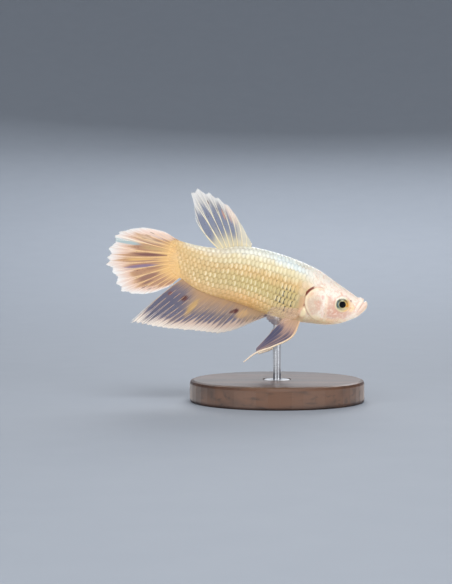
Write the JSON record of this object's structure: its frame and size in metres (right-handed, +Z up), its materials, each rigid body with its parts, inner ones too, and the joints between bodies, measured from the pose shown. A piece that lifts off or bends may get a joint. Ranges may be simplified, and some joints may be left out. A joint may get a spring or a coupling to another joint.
{
  "type": "betta fish model on a display stand",
  "caption": "Life-size still model of a short-finned betta fish, nose down as if swimming, held by a slim rod on a round wooden disc.",
  "frame": {"origin": "on the surface that the stand rests on, under the middle of the part's box", "axes": "+X is the way the fish faces, along its length from tail to snout, +Y is the fish's left side, +Z is up"},
  "size_m": [0.0598, 0.04, 0.0488],
  "materials": {
    "flesh": "cream and pale gold, scaled, wet sheen; pinkish white on the head",
    "fin": "thin rayed fins, cream rays with a dusky see-through membrane",
    "eye": "black pupil, pale green and gold iris, glossy",
    "stand_wood": "dark stained, satin lacquer",
    "stand_steel": "fine brushed"
  },
  "bodies": {
    "root": {"head": "flesh", "lower_jaw": "flesh", "gill_cover_right": "flesh", "gill_cover_left": "flesh", "trunk": "flesh", "tail_base": "flesh", "dorsal_fin": "fin", "anal_fin": "fin", "caudal_fin": "fin", "pelvic_fin_right": "fin", "pelvic_fin_left": "fin", "pectoral_fin_right": "fin", "pectoral_fin_left": "fin", "eye_right": "eye", "eye_left": "eye", "stand_base": "stand_wood", "stand_rod": "stand_steel"}
  },
  "joints": []
}
